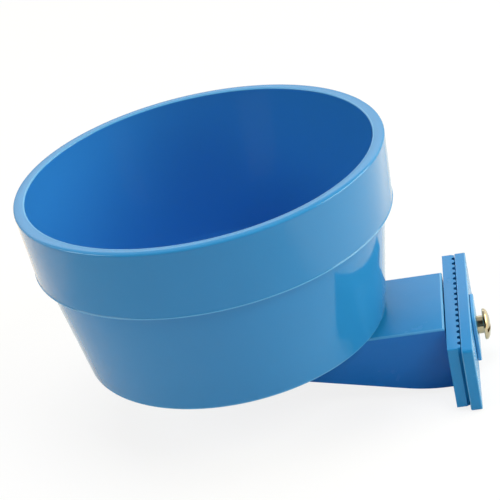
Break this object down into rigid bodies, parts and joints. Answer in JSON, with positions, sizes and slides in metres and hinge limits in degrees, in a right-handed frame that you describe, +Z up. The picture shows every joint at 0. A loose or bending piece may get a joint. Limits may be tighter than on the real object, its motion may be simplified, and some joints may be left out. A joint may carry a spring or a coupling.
{
  "type": "cage feeding cup",
  "caption": "Round moulded feeding cup with a thick rim band, twist-locked on a hollow bracket arm whose toothed jaw, flat jaw and domed bolt clamp it to the bars of a bird cage",
  "frame": {"origin": "on the bolt's axis, halfway between the closed jaws, where the cage bars are clamped", "axes": "+X from the cup out through the jaws to the bolt head, +Z up along the cup's axis"},
  "size_m": [0.1546, 0.13, 0.0924],
  "materials": {
    "cup_plastic": "gloss moulded blue",
    "bracket_plastic": "satin moulded blue",
    "plated_steel": "bright nickel plate"
  },
  "bodies": {
    "bracket": {"bracket_arm": "bracket_plastic", "inner_jaw": "bracket_plastic", "clamp_nut": "plated_steel"},
    "cup": {"cup": "cup_plastic"},
    "outer_jaw": {"outer_jaw": "bracket_plastic", "backing_plate": "bracket_plastic"},
    "bolt": {"clamp_bolt": "plated_steel"}
  },
  "joints": [
    {"name": "cup_twist", "type": "hinge", "parent": "bracket", "child": "cup", "pos_m": [-0.0795, 0, 0.014], "axis": [0, 0, 1], "range_deg": [0, 60]},
    {"name": "jaw_slide", "type": "slide", "parent": "bracket", "child": "outer_jaw", "axis": [1, 0, 0], "range_m": [0, 0.00762]},
    {"name": "bolt_turn", "type": "hinge", "parent": "outer_jaw", "child": "bolt", "pos_m": [0, 0, 0], "axis": [1, 0, 0], "range_deg": [0, 2161]}
  ],
  "couplings": [
    {"joint": "bolt_turn", "follows": "jaw_slide", "rad_per_m": 4947.4}
  ]
}
